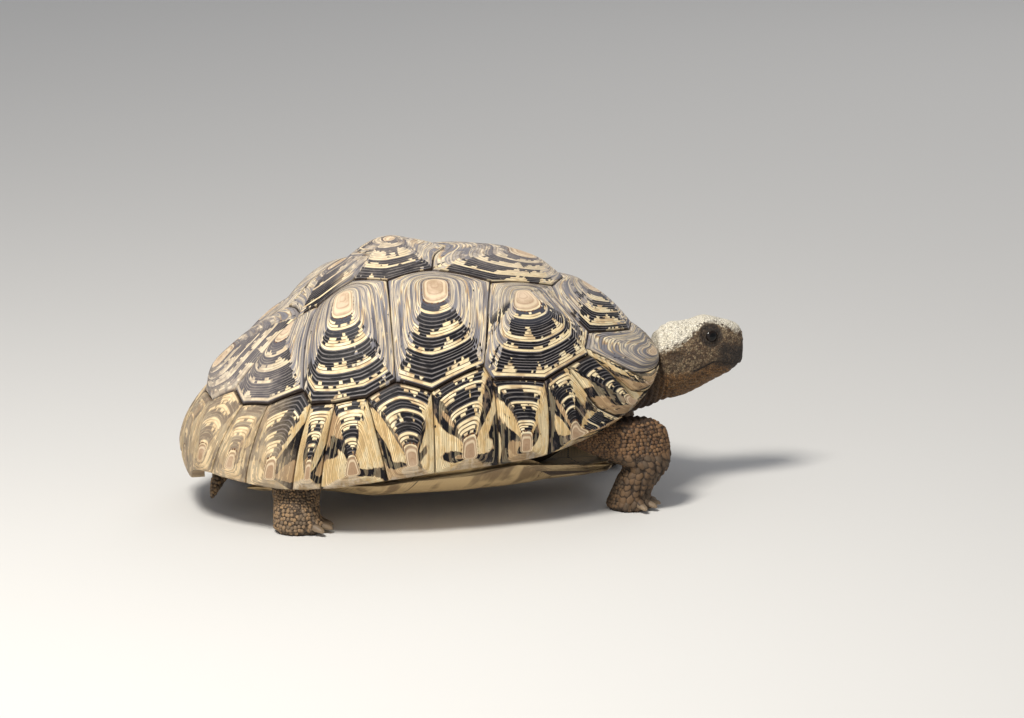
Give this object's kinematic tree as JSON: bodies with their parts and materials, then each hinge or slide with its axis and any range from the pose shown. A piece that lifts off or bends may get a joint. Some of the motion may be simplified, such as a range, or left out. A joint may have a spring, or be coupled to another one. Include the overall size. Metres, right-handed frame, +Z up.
{
  "type": "tortoise",
  "caption": "Life-size standing leopard tortoise, a still model: high domed shell of humped horny plates, head and neck stretched forward, all feet on the floor.",
  "frame": {"origin": "middle of the whole animal's length and width, on the floor it stands on", "axes": "+X the way the animal looks, +Y its left side, +Z up"},
  "size_m": [0.5015, 0.2908, 0.2345],
  "materials": {
    "shell_horn": "worn ridged horn, cream yellow with near-black blotches",
    "belly_horn": "worn horn, tan yellow",
    "scaly_skin": "dry scaly hide, tan brown scales with dark between",
    "head_skin": "dry hide in fine flat scales, cream crown and grey-brown sides",
    "eye": "wet and glossy, near black"
  },
  "bodies": {
    "root": {"costal_left_1": "shell_horn", "costal_left_2": "shell_horn", "costal_left_3": "shell_horn", "costal_left_4": "shell_horn", "costal_right_1": "shell_horn", "costal_right_2": "shell_horn", "costal_right_3": "shell_horn", "costal_right_4": "shell_horn", "eye_left": "eye", "eye_right": "eye", "front_foot_left": "scaly_skin", "front_foot_right": "scaly_skin", "front_leg_left": "scaly_skin", "front_leg_right": "scaly_skin", "head": "head_skin", "hind_foot_left": "scaly_skin", "hind_foot_right": "scaly_skin", "hind_leg_left": "scaly_skin", "hind_leg_right": "scaly_skin", "jaw": "head_skin", "marginal_left_1": "shell_horn", "marginal_left_10": "shell_horn", "marginal_left_11": "shell_horn", "marginal_left_12": "shell_horn", "marginal_left_2": "shell_horn", "marginal_left_3": "shell_horn", "marginal_left_4": "shell_horn", "marginal_left_5": "shell_horn", "marginal_left_6": "shell_horn", "marginal_left_7": "shell_horn", "marginal_left_8": "shell_horn", "marginal_left_9": "shell_horn", "marginal_right_1": "shell_horn", "marginal_right_10": "shell_horn", "marginal_right_11": "shell_horn", "marginal_right_12": "shell_horn", "marginal_right_2": "shell_horn", "marginal_right_3": "shell_horn", "marginal_right_4": "shell_horn", "marginal_right_5": "shell_horn", "marginal_right_6": "shell_horn", "marginal_right_7": "shell_horn", "marginal_right_8": "shell_horn", "marginal_right_9": "shell_horn", "neck": "scaly_skin", "plastron": "belly_horn", "supracaudal": "shell_horn", "tail": "scaly_skin", "trunk": "scaly_skin", "vertebral_1": "shell_horn", "vertebral_2": "shell_horn", "vertebral_3": "shell_horn", "vertebral_4": "shell_horn", "vertebral_5": "shell_horn"}
  },
  "joints": []
}
